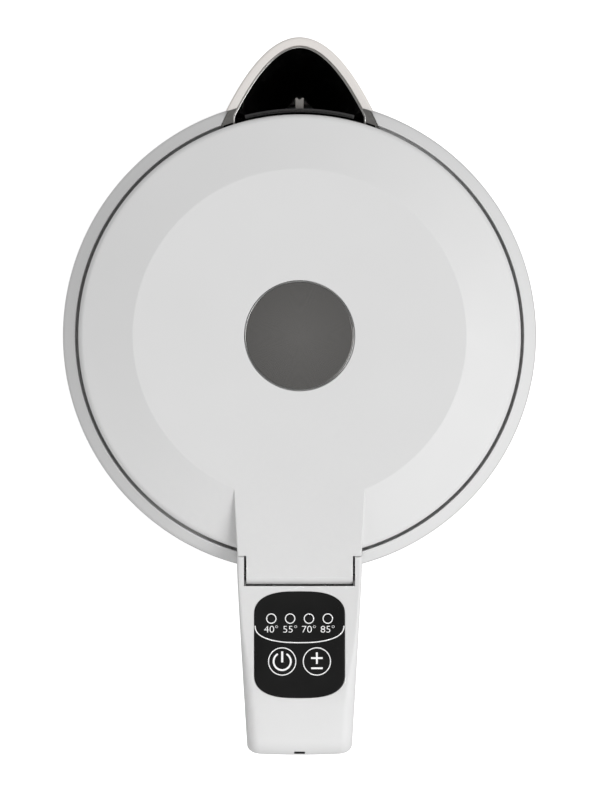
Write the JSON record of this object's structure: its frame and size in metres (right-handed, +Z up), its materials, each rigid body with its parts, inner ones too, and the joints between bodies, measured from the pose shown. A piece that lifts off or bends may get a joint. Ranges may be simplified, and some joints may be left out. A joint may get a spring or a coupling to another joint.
{
  "type": "electric kettle",
  "caption": "Cordless electric kettle with a wide round lid, a steel spout, a control panel in the handle and a round power base.",
  "frame": {"origin": "on the kettle's axis, at the surface that the power base stands on", "axes": "+Z up, +Y towards the spout, -Y towards the handle, +X to the right when the spout points away"},
  "size_m": [0.158, 0.2337, 0.2221],
  "materials": {
    "white_plastic": "satin",
    "warm_plastic": "satin",
    "black_plastic": "satin",
    "panel_black": "glossy",
    "light_lens": "clear white",
    "spout_steel": "polished",
    "pot_steel": "brushed",
    "small_steel": "plated",
    "badge_steel": "satin",
    "bezel_chrome": "polished",
    "plate_aluminium": "cast",
    "contact_brass": "bright",
    "grey_rubber": "matt",
    "silicone": "matt",
    "insulator": "matt",
    "board_green": "solder resist",
    "wire_red": "matt"
  },
  "bodies": {
    "base": {"base_foot_ring": "grey_rubber", "base_bottom_cover": "white_plastic", "base_top_cover": "white_plastic", "base_connector": "black_plastic", "base_contacts": "contact_brass", "base_cord_inlet": "black_plastic", "base_wires": "wire_red", "base_screws": "small_steel"},
    "socket": {"socket_body": "black_plastic", "socket_contacts": "contact_brass"},
    "jug": {"foot_cover": "black_plastic", "foot_screws": "small_steel", "socket_retainer": "insulator", "thermal_control": "black_plastic", "power_board": "board_green", "wire_harness": "wire_red", "bottom_bracket": "small_steel", "heating_element": "small_steel", "heating_plate": "plate_aluminium", "temperature_sensor": "small_steel", "inner_pot": "pot_steel", "pot_seal": "silicone", "outer_shell": "white_plastic", "collar": "white_plastic", "spout_cover": "warm_plastic", "spout_liner": "spout_steel", "filter_frame": "insulator", "filter_mesh": "pot_steel", "handle_shell": "white_plastic", "handle_inner_cover": "white_plastic", "handle_screws": "small_steel", "control_panel": "panel_black", "indicator_lights": "light_lens", "control_board": "board_green", "button_switches": "small_steel", "hinge_pin": "small_steel", "hinge_spring": "small_steel"},
    "lid": {"lid_top": "white_plastic", "lid_badge": "badge_steel", "lid_badge_bezel": "bezel_chrome", "lid_inner_plate": "pot_steel", "lid_gasket": "silicone", "lid_screws": "small_steel", "steam_vent": "silicone"},
    "power_button": {"power_button": "panel_black"},
    "temp_button": {"temp_button": "panel_black"}
  },
  "joints": [
    {"name": "jug_lift", "type": "slide", "parent": "base", "child": "socket", "axis": [0, 0, 1], "range_m": [0, 0.06]},
    {"name": "jug_swivel", "type": "hinge", "parent": "socket", "child": "jug", "pos_m": [0, 0, 0.03], "axis": [0, 0, 1], "continuous": true},
    {"name": "lid_hinge", "type": "hinge", "parent": "jug", "child": "lid", "pos_m": [0, -0.0765, 0.2177], "axis": [1, 0, 0], "range_deg": [0, 80]},
    {"name": "power_press", "type": "slide", "parent": "jug", "child": "power_button", "axis": [0, 0, -1], "range_m": [0, 0.0005], "stiffness_N_per_m": 500},
    {"name": "temp_press", "type": "slide", "parent": "jug", "child": "temp_button", "axis": [0, 0, -1], "range_m": [0, 0.0005], "stiffness_N_per_m": 500}
  ]
}
